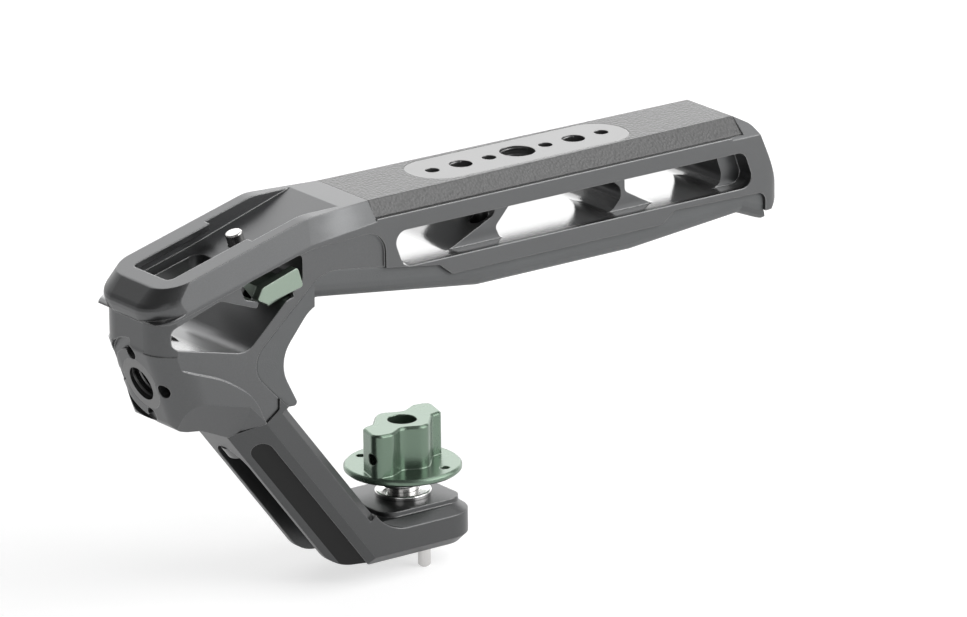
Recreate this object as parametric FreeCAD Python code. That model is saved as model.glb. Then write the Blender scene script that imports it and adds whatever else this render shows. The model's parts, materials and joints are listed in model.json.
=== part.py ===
import FreeCAD, Part
import math
import os

# Camera top handle. X runs to the rear, Z up, Y across.
# The origin is on the foot's underside, on the axis of the mounting screw.
# Heights of the grip and the head are drops below TOP_Z.

# Body
TOP_Z = 86.4
BODY_HALF = 13.5
HEAD_TILT = 15.0
CREASE_X = -34.0
CREASE_RADIUS = 14.0
RIM_FRONT_X = -72.4
RIM_INSET = 1.0
BAND_DEPTH = 7.2
BAND_LEAN = 4.2
BAND_NOSE_DROP = 4.4
PLAN_FRONT_RADIUS = 6.0
NOSE_RADIUS = 6.8
NOSE_SPREAD = 0.35
NOSE_STEPS = 4
NOSE_MARGIN = 0.03
NOSE_REACH = 24.0
PLAN_REAR_RADIUS = 5.0
NECK_LEAD = 2.3
NECK_STEP = 0.9
NECK_ROUND = 8.0
PANEL_DEPTH = 0.8
PANEL_END_X = -13.2
PANEL_END_DROP = 6.4
PANEL_CORNER = 6.0
PANEL_KNEE_X = -50.2
PANEL_KNEE_RISE = 2.1
PANEL_KNEE_RADIUS = 12.0
PANEL_BELLY_X = -58.0
PANEL_BELLY_RISE = 7.5
PANEL_BELLY_RADIUS = 30.0
PANEL_FRONT_RISE = 16.1

# Front boss
BOSS_SETBACK = 0.7
BOSS_RISE = 6.1
BOSS_TILT = 19.0
BOSS_REACH_UP = 9.6
BOSS_REACH_DOWN = 10.4
BOSS_ROUND = 7.5
FRONT_HOLE_SPACING = 8.25
FRONT_HOLE_RADIUS = 1.7
FRONT_HOLE_DEPTH = 6.0
GROOVE_INNER = 9.0
GROOVE_OUTER = 11.6
GROOVE_DEPTH = 1.6
INSERT_RADIUS = 6.4
INSERT_LENGTH = 11.0

# Threads, as plain bores
LARGE_THREAD_RADIUS = 4.76
LARGE_BORE_RADIUS = 4.2
SMALL_BORE_RADIUS = 2.75

# Throat, where the fingers pass between head and grip
SEAM_TIP_X = -43.1
SEAM_TIP_FALL = 8.9
THROAT_X = -51.4
THROAT_WALL = 3.4
THROAT_RADIUS = 8.5
SHOULDER_X = -30.2
SHOULDER_DROP = 13.0
SHOULDER_RADIUS = 10.0
SEAM_DROP = 17.8
SEAM_STEP_X = 1.6
SEAM_STEP_REAR_X = 69.0
STEP_RUN = 3.6
RAIL_DROP = 20.6
STEP_RADIUS = 1.2

# Head underside, which the arm meets
HEAD_REAR_FALL = 2.5
HEAD_HEEL_X = -46.9
HEAD_HEEL_FALL = 5.2
HEAD_TOE_X = -53.6
HEAD_TOE_FALL = 8.6
HEAD_ARCH_X = -61.6
HEAD_ARCH_FALL = 5.0
HEAD_KEEL_INSET = 6.3
HEAD_KEEL_RISE = 9.6
HEAD_CREASE_X = -51.2
HEAD_CREASE_FALL = 0.3
HEAD_CREASE_SLOPE = 0.26
HEAD_HEEL_SLOPE = 1.09

# Grip
PAD_FRONT_X = -15.6
PAD_REAR_X = 89.6
PAD_HEIGHT = 3.6
PAD_FRONT_INSET = 3.65
PAD_REAR_INSET = 4.9
PAD_BASE_INSET = 1.1
PAD_GROOVE = 0.6
DECK = 4.0
SLOT_HEIGHT = 8.8
SLOT_FRONT_X = -11.6
SLOT_REAR_X = 92.6
SLOT_SLANT = 3.2
SLOT_CORNER = 2.8
SPINE_INSET = 4.5
STRUT_FRONT_X = 20.6
STRUT_REAR_X = 52.4
STRUT_WIDTH = 5.4
STRUT_FOOT = 13.0
CAP_LEAN = 3.6
CAP_SHOULDER_DROP = 2.0
REAR_X = 100.8
REAR_DROP = 19.6
REAR_TOE_X = 97.6
REAR_TOE_DROP = 23.0
SEAM_REAR_X = 95.6
CAP_RADIUS = 3.0

# Grip insert
INSERT_INSET = 0.8
INSERT_ROUND = 3.6
ROUND_STEPS = 4
TIP_X = -37.6
TIP_FALL = 2.7
TIP_HEEL_X = -40.4
TIP_HEEL_FALL = 2.6
INNER_THROAT_X = -43.1
INNER_THROAT_RISE = 8.4
INNER_THROAT_RADIUS = 8.5
INNER_SHOULDER_X = -32.7
INNER_SHOULDER_DROP = 19.7
BELLY_FRONT_X = 14.0
BELLY_REAR_X = 58.0
BELLY_DROP = 25.9
WAIST_X = 89.5
WAIST_DROP = 23.2
BULB_X = 97.4
BULB_DROP = 26.4
KEEL_HALF = 7.6
KEEL_DROP = 22.8
KEEL_FRONT_X = -6.0
KEEL_REAR_X = 88.0
KEEL_FIT = 0.05

# Windows of the head
WINDOW_WALL = 1.0
WINDOW_FRONT_HEIGHT = 4.8
WINDOW_LOW_X = -51.5
WINDOW_LOW_FALL = 4.7
WINDOW_TOP_FALL = 4.2
WINDOW_ROOF_X = -58.4
WINDOW_ROOF_DROP = 14.7
WINDOW_CORNER = 2.2
WINDOW_THROAT_RADIUS = 5.0
WEB_TIP_X = -48.0
WEB_TIP_FALL = 2.2
WEB_THICKNESS = 1.5
POCKET_FRONT_X = -53.2
POCKET_REAR_X = -35.8
POCKET_HEIGHT = 3.6
POCKET_TOP_DROP = 7.0
POCKET_WALL_RISE = 0.8
POCKET_CORNER = 1.5

# Cold shoe
SHOE_DEPTH = 3.9
LIP_THICKNESS = 1.5
SHOE_HALF = 9.4
LIP_OPENING_HALF = 7.4
SHOE_WALL = 3.8
LIP_REAR_X = -47.2
SHOE_CORNER = 1.6
FLOOR_OPENING_HALF = 5.4
FLOOR_OPENING_SETBACK = 2.6
FLOOR_OPENING_REAR_X = -52.0
FLOOR_OPENING_CORNER = 2.5
RAMP_FRONT_X = -51.5
RAMP_END_X = -23.5

# Lock pin, measured along its own tilted axis from the ramp
PIN_X = -45.0
PIN_RADIUS = 2.0
PIN_PROUD = 2.8
PIN_TRAVEL = 2.7
PIN_CLEARANCE = 0.06
LIP_FLOOR = 1.2
FLANGE_RADIUS = 2.6
FLANGE_THICKNESS = 0.8
SHANK_RADIUS = 1.2
SPRING_SPACE = 4.1
BUSH_THICKNESS = 1.1
HOUSING_HALF = 4.0
PIN_FOOT_RADIUS = 2.0
PIN_FOOT_THICKNESS = 1.2
END_GAP = 0.1
PIN_SPRING_WIRE = 0.36
PIN_SPRING_TURNS = 4

# Release button
BUTTON_TRAVEL = 2.9
BUTTON_PLATE = 2.4
BUTTON_FRONT = 4.3
BUTTON_REAR = 5.9
BUTTON_HEIGHT = 4.9
BUTTON_RISE = 1.45
BUTTON_TIP = 2.0
BUTTON_LOW = 0.8
BUTTON_CORNER = 0.7
BUTTON_GAP = 0.25
FORK_HALF = 2.9
FORK_THIN = 1.9
FORK_REACH = 3.6

# Thread plate
PLATE_X = 33.75
HOLE_PITCH = 8.05
LOCATING_RADIUS = 1.7
PLATE_HALF = 8.0
PLATE_LENGTH = 60.2
PLATE_THICKNESS = 5.6
PLATE_FIT = 0.05
PLATE_SCREW_X = 15.4
PLATE_SCREW_Y = 5.9
PLATE_SCREW_RADIUS = 1.25
PLATE_SCREW_HEAD_RADIUS = 2.1
PLATE_SCREW_HEAD = 1.2
PLATE_SCREW_REACH = 3.2

# Arm
ARM_INSET = 0.3
ARM_TOP_X = -39.6
ARM_TOP_FALL = 4.1
ARM_KNEE_X = -13.4
ARM_EDGE = 6.4
ARM_DEPTH = 13.9
ARM_FRONT_INSET = 6.25
ARM_CHANNEL_HALF = 5.5
ARM_REAR_WALL = 4.2
ARM_CAP = 1.5
ARM_BEVEL = 2.0
ARM_BEND_RADIUS = 9.0
KNEE_RADIUS = 12.0
RECESS_FROM_EDGE = 2.6
RECESS_TO = 7.9
RECESS_DEPTH = 1.9
RECESS_TOP = 0.8

# Foot
FOOT_REAR_X = 12.7
FOOT_HEIGHT = 7.4
FOOT_BOSS_HEIGHT = 10.5
FOOT_BOSS_HALF = 10.2
FOOT_BOSS_FRONT_X = -12.2
FOOT_BOSS_CORNER = 4.0
FOOT_CORNER = 8.0
FOOT_EDGE = 2.2
FOOT_CHAMFER = 2.0
LEDGE_RISE = 1.9
LEDGE_RUN = 2.6
PIN_SPACING = 8.0
LOCATING_PIN_RADIUS = 1.5
LOCATING_PIN_OUT = 5.0
LOCATING_PIN_IN = 6.0
LOCATING_SHANK_RADIUS = 1.2
LOCATING_MOUTH = 0.3

# Mounting screw and knob
KNOB_GAP = 5.9
KNOB_RADIUS = 13.7
KNOB_DISC = 1.7
KNOB_HEIGHT = 12.0
KNOB_EDGE = 0.5
KNOB_BORE = 3.45
KNOB_BORE_DEPTH = 5.0
KNOB_HOLE_X = -5.1
KNOB_HOLE_Y = 9.5
KNOB_HOLE_RADIUS = 1.1
WING_TIP_X = 12.7
WING_TIP_Y = 6.6
WING_SIDE_X = 10.7
WING_SIDE_Y = -0.9
WING_ROOT_X = 7.4
WING_ROOT_Y = -1.5
WING_CREST_X = 8.0
WING_CREST_Y = 7.3
WING_VALLEY_X = 3.7
WING_VALLEY_Y = 4.9
WING_HUB_X = -2.0
WING_HUB_Y = 7.6
WING_HUB_RADIUS = 3.2
WING_VALLEY_RADIUS = 2.4
WING_CREST_RADIUS = 2.0
WING_ROOT_RADIUS = 1.6
SET_SCREW_RADIUS = 1.4
SET_SCREW_LENGTH = 4.0
NECK_RADIUS = 3.6
SCREW_TIP_Z = 0.5
THREAD_LENGTH = 5.6
TIP_CHAMFER = 0.8
COLLAR_RADIUS = 6.65
COLLAR_FLANGE = 1.2
COLLAR_BODY_RADIUS = 5.6
COLLAR_INNER = 3.7
RUNNING_FIT = 0.08
FLANGE_POCKET_RADIUS = 6.9
FLANGE_POCKET_DEPTH = 1.1
SPRING_BORE_RADIUS = 5.6
SPRING_BORE_DEPTH = 3.4
WASHER_RADIUS = 5.5
WASHER_THICKNESS = 0.6
WASHER_GAP = 0.05
SCREW_SPRING_WIRE = 0.8
SCREW_SPRING_TURNS = 3

# Fasteners of the arm
ARM_SCREW_RADIUS = 3.0
ARM_SCREW_HEAD_RADIUS = 4.7
ARM_SCREW_HEAD = 3.4
ARM_HEAD_ROOM = 0.3
ARM_SCREW_REACH = 14.0
ARM_SCREW_FROM_REAR = 9.4
DOWEL_RADIUS = 1.5
DOWEL_REACH = 7.0
DOWEL_FROM_REAR = 5.4
DOWEL_Y = 8.4


def corner(x, drop, radius=0.0):
    """A corner of a side outline, given by its drop below the top."""
    return (x, TOP_Z - drop, radius)


def rounded_wire(corners, place):
    """A closed outline with an arc at each corner that has a radius."""
    count = len(corners)
    starts = []
    for index in range(count):
        here = FreeCAD.Vector(corners[index][0], corners[index][1], 0)
        before = FreeCAD.Vector(corners[index - 1][0], corners[index - 1][1], 0)
        after = FreeCAD.Vector(corners[(index + 1) % count][0], corners[(index + 1) % count][1], 0)
        back = before - here
        ahead = after - here
        turn = math.pi - back.getAngle(ahead)
        room = 0.48 * min(back.Length, ahead.Length)
        reach = min(corners[index][2] * math.tan(turn / 2), room) if turn > 1e-6 else 0.0
        if reach < 1e-6:
            starts.append((here, here, None))
            continue
        radius = reach / math.tan(turn / 2)
        first = here + back.normalize() * reach
        last = here + ahead.normalize() * reach
        toward = (back + ahead).normalize()
        middle = here + toward * (radius / math.cos(turn / 2) - radius)
        starts.append((first, last, middle))
    edges = []
    for index in range(count):
        first, last, middle = starts[index]
        following = starts[(index + 1) % count][0]
        if middle is not None:
            edges.append(Part.Arc(place(first), place(middle), place(last)).toShape())
        if (following - last).Length > 1e-6:
            edges.append(Part.LineSegment(place(last), place(following)).toShape())
    return Part.Wire(edges)


def side_prism(corners, low_y, high_y):
    """A side outline in X and Z, carried across from low_y to high_y."""
    wire = rounded_wire(corners, lambda p: FreeCAD.Vector(p.x, low_y, p.y))
    return Part.Face(wire).extrude(FreeCAD.Vector(0, high_y - low_y, 0))


def plan_prism(corners, low_z, high_z):
    """A plan outline in X and Y, carried up from low_z to high_z."""
    wire = rounded_wire(corners, lambda p: FreeCAD.Vector(p.x, p.y, low_z))
    return Part.Face(wire).extrude(FreeCAD.Vector(0, 0, high_z - low_z))


def rod(radius, low_z, high_z, x=0.0, y=0.0):
    """An upright cylinder between two heights."""
    return Part.makeCylinder(radius, high_z - low_z, FreeCAD.Vector(x, y, low_z))


def placed(shape, origin, tilt):
    """A shape drawn at the origin, tilted nose down about Y and set at a point."""
    copy = shape.copy()
    turn = FreeCAD.Rotation(FreeCAD.Vector(0, 1, 0), -tilt)
    copy.Placement = FreeCAD.Placement(origin, turn)
    return copy


def mirrored(shape):
    return shape.mirror(FreeCAD.Vector(0, 0, 0), FreeCAD.Vector(0, 1, 0))


def both_sides(shape):
    return shape.fuse(mirrored(shape))


def coil(mean_radius, wire_radius, low_z, high_z, turns):
    """A round-wire spring made of tilted half turns, with its ends inside the two heights."""
    rise = (high_z - low_z - 2 * wire_radius) / (2 * turns)
    over_y = FreeCAD.Vector(0, 1, 0)
    half_turns = []
    side = 1
    for index in range(2 * turns):
        start = FreeCAD.Vector(side * mean_radius, 0, low_z + wire_radius + index * rise)
        across = FreeCAD.Vector(-2 * side * mean_radius, 0, rise)
        circle = Part.Circle(start, over_y, wire_radius)
        section = Part.Face(Part.Wire([circle.toShape()]))
        half_turns.append(section.revolve(start + across * 0.5, over_y.cross(across) * side, 180))
        side = -side
    return half_turns[0].fuse(half_turns[1:])


# Places worked out from the sizes
RIM_HALF = BODY_HALF - RIM_INSET
PAD_FRONT_HALF = BODY_HALF - PAD_FRONT_INSET
PAD_REAR_HALF = BODY_HALF - PAD_REAR_INSET
PAD_BASE_HALF = BODY_HALF - PAD_BASE_INSET
SPINE_HALF = BODY_HALF - SPINE_INSET
INSERT_HALF = BODY_HALF - INSERT_INSET
ARM_HALF = BODY_HALF - ARM_INSET
ARM_FRONT_HALF = ARM_HALF - ARM_FRONT_INSET
NECK_FRONT_X = RIM_FRONT_X - NECK_LEAD
BOSS_X = RIM_FRONT_X + BOSS_SETBACK
WINDOW_FRONT_X = RIM_FRONT_X + WINDOW_WALL
SHOE_FRONT_X = RIM_FRONT_X + SHOE_WALL
FLOOR_OPENING_FRONT_X = SHOE_FRONT_X + FLOOR_OPENING_SETBACK
WINDOW_TOP_DROP = WINDOW_ROOF_DROP + WINDOW_TOP_FALL
WINDOW_FRONT_DROP = WINDOW_TOP_DROP + WINDOW_FRONT_HEIGHT
WINDOW_LOW_DROP = WINDOW_FRONT_DROP + WINDOW_LOW_FALL
WEB_TIP_DROP = WINDOW_ROOF_DROP + WEB_TIP_FALL
POCKET_WALL_DROP = WINDOW_ROOF_DROP - POCKET_WALL_RISE
THROAT_DROP = WINDOW_LOW_DROP + THROAT_WALL
SEAM_TIP_DROP = THROAT_DROP + SEAM_TIP_FALL
INNER_THROAT_DROP = SEAM_TIP_DROP - INNER_THROAT_RISE
TIP_DROP = SEAM_TIP_DROP + TIP_FALL
TIP_HEEL_DROP = SEAM_TIP_DROP + TIP_HEEL_FALL
HEAD_REAR_DROP = SEAM_TIP_DROP + HEAD_REAR_FALL
HEAD_HEEL_DROP = SEAM_TIP_DROP + HEAD_HEEL_FALL
HEAD_TOE_DROP = SEAM_TIP_DROP + HEAD_TOE_FALL
HEAD_ARCH_DROP = SEAM_TIP_DROP + HEAD_ARCH_FALL
HEAD_CREASE_DROP = SEAM_TIP_DROP + HEAD_CREASE_FALL
BOSS_DROP = SEAM_TIP_DROP - BOSS_RISE
ARM_TOP_DROP = SEAM_TIP_DROP + ARM_TOP_FALL
RIM_FRONT_DROP = (CREASE_X - RIM_FRONT_X) * math.tan(math.radians(HEAD_TILT))
PAD_SEAT_DROP = PAD_HEIGHT
PAD_SEAT_Z = TOP_Z - PAD_HEIGHT
SLOT_TOP_DROP = PAD_HEIGHT + DECK
SLOT_LOW_DROP = SLOT_TOP_DROP + SLOT_HEIGHT
HEAD_SLOPE = math.tan(math.radians(HEAD_TILT))


def rim_drop(x):
    """Drop of the rim's plane at a station on the head."""
    return (CREASE_X - x) * HEAD_SLOPE


SHOE_NORMAL_DROP = SHOE_DEPTH / math.cos(math.radians(HEAD_TILT))
RAMP_FRONT_DROP = rim_drop(RAMP_FRONT_X) + SHOE_NORMAL_DROP
RAMP_TILT = math.degrees(math.atan2(RAMP_FRONT_DROP, RAMP_END_X - RAMP_FRONT_X))
RAMP_SLOPE = math.tan(math.radians(RAMP_TILT))
PIN_BASE = FreeCAD.Vector(PIN_X, 0, TOP_Z - (RAMP_END_X - PIN_X) * RAMP_SLOPE)
BOSS_CENTRE = FreeCAD.Vector(BOSS_X, 0, TOP_Z - BOSS_DROP)
BOSS_OUT = FreeCAD.Vector(-math.cos(math.radians(BOSS_TILT)), 0, -math.sin(math.radians(BOSS_TILT)))
BOSS_UP = FreeCAD.Vector(-math.sin(math.radians(BOSS_TILT)), 0, math.cos(math.radians(BOSS_TILT)))
ARM_TOP = FreeCAD.Vector(ARM_TOP_X, 0, TOP_Z - ARM_TOP_DROP)
ARM_KNEE = FreeCAD.Vector(ARM_KNEE_X, 0, FOOT_HEIGHT)
ARM_DOWN = (ARM_KNEE - ARM_TOP).normalize()
ARM_FRONT = FreeCAD.Vector(ARM_DOWN.z, 0, -ARM_DOWN.x)
KNOB_LOW_Z = FOOT_BOSS_HEIGHT + KNOB_GAP
KNOB_TOP_Z = KNOB_LOW_Z + KNOB_HEIGHT
BUTTON_TOP_N = -(LIP_FLOOR + END_GAP + FLANGE_THICKNESS + SPRING_SPACE + BUSH_THICKNESS + 2 * END_GAP)


def arm_point(along, forward):
    """A point of the arm's side view, from the top of its rear edge."""
    return ARM_TOP + ARM_DOWN * along + ARM_FRONT * forward


def head_seam():
    """The broken line where the head's underside meets the arm, from rear to front."""
    return [
        corner(SEAM_TIP_X, SEAM_TIP_DROP),
        corner(SEAM_TIP_X, HEAD_REAR_DROP, 1.0),
        corner(HEAD_HEEL_X, HEAD_HEEL_DROP, 2.0),
        corner(HEAD_TOE_X, HEAD_TOE_DROP),
    ]


def seam_line():
    """The edge between body and grip insert, from the rear to the throat."""
    return [
        corner(SEAM_REAR_X, SEAM_DROP + 0.6, CAP_RADIUS),
        corner(SEAM_STEP_REAR_X, SEAM_DROP, STEP_RADIUS),
        corner(SEAM_STEP_REAR_X - STEP_RUN, RAIL_DROP, STEP_RADIUS),
        corner(SEAM_STEP_X + STEP_RUN, RAIL_DROP, STEP_RADIUS),
        corner(SEAM_STEP_X, SEAM_DROP, STEP_RADIUS),
        corner(SHOULDER_X, SHOULDER_DROP, SHOULDER_RADIUS),
        corner(THROAT_X, THROAT_DROP, THROAT_RADIUS),
    ]


def body_outline():
    boss_top = BOSS_CENTRE + BOSS_UP * BOSS_REACH_UP
    boss_low = BOSS_CENTRE - BOSS_UP * BOSS_REACH_DOWN
    band_low_drop = RIM_FRONT_DROP + BAND_DEPTH
    outline = [
        corner(RIM_FRONT_X, RIM_FRONT_DROP, NECK_STEP),
        corner(CREASE_X, 0.0, CREASE_RADIUS),
        corner(PAD_FRONT_X, 0.0),
        corner(PAD_FRONT_X, PAD_SEAT_DROP),
        corner(PAD_REAR_X, PAD_SEAT_DROP),
        corner(PAD_REAR_X, 0.0),
        corner(PAD_REAR_X + CAP_LEAN, CAP_SHOULDER_DROP, CAP_RADIUS),
        corner(REAR_X, REAR_DROP, CAP_RADIUS),
        corner(REAR_TOE_X, REAR_TOE_DROP),
        corner(SEAM_REAR_X, REAR_TOE_DROP),
    ]
    outline += seam_line()
    outline += head_seam()
    outline += [
        corner(HEAD_ARCH_X, HEAD_ARCH_DROP, CAP_RADIUS),
        (boss_low.x + CAP_RADIUS, boss_low.z - NECK_STEP, CAP_RADIUS),
        (boss_low.x, boss_low.z, CAP_RADIUS),
        (boss_top.x, boss_top.z, NECK_STEP),
        (NECK_FRONT_X, boss_top.z + NECK_STEP, NECK_STEP),
        (NECK_FRONT_X, TOP_Z - band_low_drop - NECK_STEP, 0.0),
        corner(NECK_FRONT_X - NECK_STEP, band_low_drop, NECK_STEP),
        corner(RIM_FRONT_X - BAND_LEAN, RIM_FRONT_DROP + BAND_NOSE_DROP, CAP_RADIUS),
    ]
    return outline


def body_plan():
    nose_x = RIM_FRONT_X - BAND_LEAN
    return [
        (nose_x, -BODY_HALF, PLAN_FRONT_RADIUS),
        (REAR_X, -BODY_HALF, PLAN_REAR_RADIUS),
        (REAR_X, BODY_HALF, PLAN_REAR_RADIUS),
        (nose_x, BODY_HALF, PLAN_FRONT_RADIUS),
    ]


def edge_wedge(stations):
    """A cutter that slopes the top edges in, given stations of x, top drop, half width and drop."""
    outer = BODY_HALF + NECK_STEP
    wires = []
    for x, top_drop, half, low_drop in stations:
        points = [
            FreeCAD.Vector(x, outer, TOP_Z - low_drop),
            FreeCAD.Vector(x, BODY_HALF, TOP_Z - low_drop),
            FreeCAD.Vector(x, half, TOP_Z - top_drop),
            FreeCAD.Vector(x, half, TOP_Z + PAD_HEIGHT),
            FreeCAD.Vector(x, outer, TOP_Z + PAD_HEIGHT),
        ]
        wires.append(Part.makePolygon(points + [points[0]]))
    return both_sides(Part.makeLoft(wires, True, True))


def slot_outline():
    return [
        corner(SLOT_FRONT_X, SLOT_TOP_DROP, SLOT_CORNER),
        corner(SLOT_FRONT_X + SLOT_SLANT, SLOT_LOW_DROP, SLOT_CORNER),
        corner(SLOT_REAR_X, SLOT_LOW_DROP, SLOT_CORNER),
        corner(SLOT_REAR_X - SLOT_SLANT, SLOT_TOP_DROP, SLOT_CORNER),
    ]


def grip_windows():
    """The three through windows between the slanting struts."""
    low = SLOT_LOW_DROP
    foot_drop = SLOT_LOW_DROP - SLOT_HEIGHT / 3
    small = SLOT_CORNER / 2
    first = [
        corner(SLOT_FRONT_X, SLOT_TOP_DROP, SLOT_CORNER),
        corner(SLOT_FRONT_X + SLOT_SLANT, low, SLOT_CORNER),
        corner(STRUT_FRONT_X - STRUT_FOOT, low, 2 * SLOT_CORNER),
        corner(STRUT_FRONT_X, SLOT_TOP_DROP + SLOT_CORNER, SLOT_CORNER),
        corner(STRUT_FRONT_X, SLOT_TOP_DROP),
    ]
    second = [
        corner(STRUT_FRONT_X + STRUT_WIDTH, SLOT_TOP_DROP, small),
        corner(STRUT_FRONT_X, foot_drop, small),
        corner(STRUT_FRONT_X + small, low, small),
        corner(STRUT_REAR_X + small, low, SLOT_CORNER),
        corner(STRUT_REAR_X + 2 * SLOT_CORNER, foot_drop - small, SLOT_CORNER),
        corner(STRUT_REAR_X, SLOT_TOP_DROP, small),
    ]
    third = [
        corner(STRUT_REAR_X + STRUT_WIDTH, SLOT_TOP_DROP, small),
        corner(STRUT_REAR_X + STRUT_WIDTH, foot_drop - small, small),
        corner(STRUT_REAR_X + STRUT_FOOT, low, SLOT_CORNER),
        corner(SLOT_REAR_X - 2 * SLOT_CORNER, low, SLOT_CORNER),
        corner(SLOT_REAR_X - 3 * SLOT_CORNER, SLOT_TOP_DROP, SLOT_CORNER),
    ]
    return [first, second, third]


def head_window():
    """The three-sided window with the button pocket above it and the web between them."""
    rear_drop = POCKET_TOP_DROP + rim_drop(POCKET_REAR_X)
    front_drop = POCKET_TOP_DROP + rim_drop(POCKET_FRONT_X)
    tip = WEB_THICKNESS / 3
    return [
        corner(WINDOW_FRONT_X, WINDOW_FRONT_DROP, WINDOW_CORNER),
        corner(WINDOW_LOW_X, WINDOW_LOW_DROP, WINDOW_THROAT_RADIUS),
        corner(POCKET_REAR_X, POCKET_WALL_DROP, POCKET_CORNER),
        corner(POCKET_REAR_X, rear_drop, POCKET_CORNER),
        corner(POCKET_FRONT_X, front_drop, POCKET_CORNER),
        corner(POCKET_FRONT_X + POCKET_CORNER, front_drop + POCKET_HEIGHT, POCKET_CORNER),
        corner(WEB_TIP_X, WEB_TIP_DROP, tip),
        corner(WEB_TIP_X - tip, WEB_TIP_DROP + WEB_THICKNESS, tip),
        corner(WINDOW_ROOF_X, WINDOW_ROOF_DROP, WINDOW_CORNER),
        corner(WINDOW_FRONT_X, WINDOW_TOP_DROP, WINDOW_CORNER),
    ]


def panel_outline():
    """The shallow side panel under the band, which ends in a round corner on the grip."""
    past = RIM_FRONT_X - 2 * BAND_LEAN
    band_low = RIM_FRONT_DROP + BAND_DEPTH
    return [
        corner(past, rim_drop(past) + BAND_DEPTH, 0.0),
        corner(CREASE_X, band_low - RIM_FRONT_DROP, CREASE_RADIUS),
        corner(PANEL_END_X, PANEL_END_DROP, PANEL_CORNER),
        corner(PANEL_END_X, SEAM_DROP, 0.0),
        corner(SHOULDER_X, THROAT_DROP, 0.0),
        corner(SEAM_TIP_X, HEAD_HEEL_DROP, 0.0),
        corner(HEAD_HEEL_X, HEAD_HEEL_DROP, 0.0),
        corner(PANEL_KNEE_X, SEAM_TIP_DROP - PANEL_KNEE_RISE, PANEL_KNEE_RADIUS),
        corner(PANEL_BELLY_X, SEAM_TIP_DROP - PANEL_BELLY_RISE, PANEL_BELLY_RADIUS),
        corner(past, SEAM_TIP_DROP - PANEL_FRONT_RISE, 0.0),
    ]


def front_rounding(radius, low, high):
    """What is cut from each front corner, drawn with the front at x = 0."""
    box = Part.makeBox(
        3 * radius, 2 * BODY_HALF, high - low,
        FreeCAD.Vector(-2 * radius, BODY_HALF - radius, low))
    return both_sides(box.cut(rod(radius, low, high, radius, BODY_HALF - radius)))


def neck_rounding():
    low = BOSS_CENTRE.z + (BOSS_UP * BOSS_REACH_UP).z
    high = TOP_Z - RIM_FRONT_DROP - BAND_DEPTH
    cutter = front_rounding(NECK_ROUND, low, high)
    cutter.translate(FreeCAD.Vector(NECK_FRONT_X, 0, 0))
    return cutter


def boss_rounding():
    return placed(front_rounding(BOSS_ROUND, -3 * BOSS_REACH_DOWN, BOSS_REACH_UP), BOSS_CENTRE, BOSS_TILT)


def in_rim_frame(x, drop):
    """A point of the side view, measured along and square to the rim's plane from the crease."""
    turn = FreeCAD.Rotation(FreeCAD.Vector(0, 1, 0), HEAD_TILT)
    point = turn.multVec(FreeCAD.Vector(x - CREASE_X, 0, -drop))
    return FreeCAD.Vector(point.x, point.z, 0)


def nose_profile():
    """Points down the front of the band, with the arc round its nose."""
    rim = in_rim_frame(RIM_FRONT_X, RIM_FRONT_DROP)
    nose = in_rim_frame(RIM_FRONT_X - BAND_LEAN, RIM_FRONT_DROP + BAND_NOSE_DROP)
    low = in_rim_frame(NECK_FRONT_X - NECK_STEP, RIM_FRONT_DROP + BAND_DEPTH)
    bends = [(rim.x, rim.y, 0.0), (nose.x, nose.y, CAP_RADIUS), (low.x, low.y, 0.0)]
    bend = rounded_wire(bends, FreeCAD.Vector)
    arc = [edge for edge in bend.Edges if edge.Curve.TypeId == "Part::GeomCircle"][0]
    points = sorted(arc.discretize(NOSE_STEPS), key=lambda p: -p.y)
    return [rim] + points + [low]


def nose_cutter():
    """What is cut round the front of the band, so that its slant runs round the corners."""
    wires = []
    for point in nose_profile():
        lean = -point.y / (BAND_DEPTH - NECK_STEP) / math.cos(math.radians(HEAD_TILT))
        half = RIM_HALF + (BODY_HALF - RIM_HALF) * lean + NOSE_MARGIN
        radius = NOSE_RADIUS - point.y * NOSE_SPREAD
        corners = [(point.x, -half, radius), (0.0, -half, 0.0), (0.0, half, 0.0), (point.x, half, radius)]
        wires.append(rounded_wire(corners, lambda p, depth=point.y: FreeCAD.Vector(p.x, p.y, depth)))
    core = Part.makeLoft(wires, True, True)
    front = wires[-1].BoundBox.XMin
    depth = wires[-1].BoundBox.ZMax
    box = Part.makeBox(
        NOSE_REACH, 4 * BODY_HALF, -depth,
        FreeCAD.Vector(front - NOSE_MARGIN - BAND_LEAN, -2 * BODY_HALF, depth))
    return placed(box.cut(core), FreeCAD.Vector(CREASE_X, 0, TOP_Z), HEAD_TILT)


def head_bevels():
    """The broad facets under the head's lower crease, which run on into those of the arm."""
    outer = 2 * BODY_HALF
    slope = HEAD_KEEL_RISE / HEAD_KEEL_INSET
    knee_z = TOP_Z - HEAD_CREASE_DROP
    front_x = RIM_FRONT_X - 2 * BAND_LEAN
    stations = [
        (front_x, knee_z + (HEAD_CREASE_X - front_x) * HEAD_CREASE_SLOPE),
        (HEAD_CREASE_X, knee_z),
        (SEAM_TIP_X, knee_z - (SEAM_TIP_X - HEAD_CREASE_X) * HEAD_HEEL_SLOPE),
    ]
    wires = []
    for x, crease_z in stations:
        points = [
            FreeCAD.Vector(x, BODY_HALF, crease_z),
            FreeCAD.Vector(x, 0, crease_z - slope * BODY_HALF),
            FreeCAD.Vector(x, outer, crease_z - slope * BODY_HALF),
            FreeCAD.Vector(x, outer, crease_z),
        ]
        wires.append(Part.makePolygon(points + [points[0]]))
    return both_sides(Part.makeLoft(wires, True, True))


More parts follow.
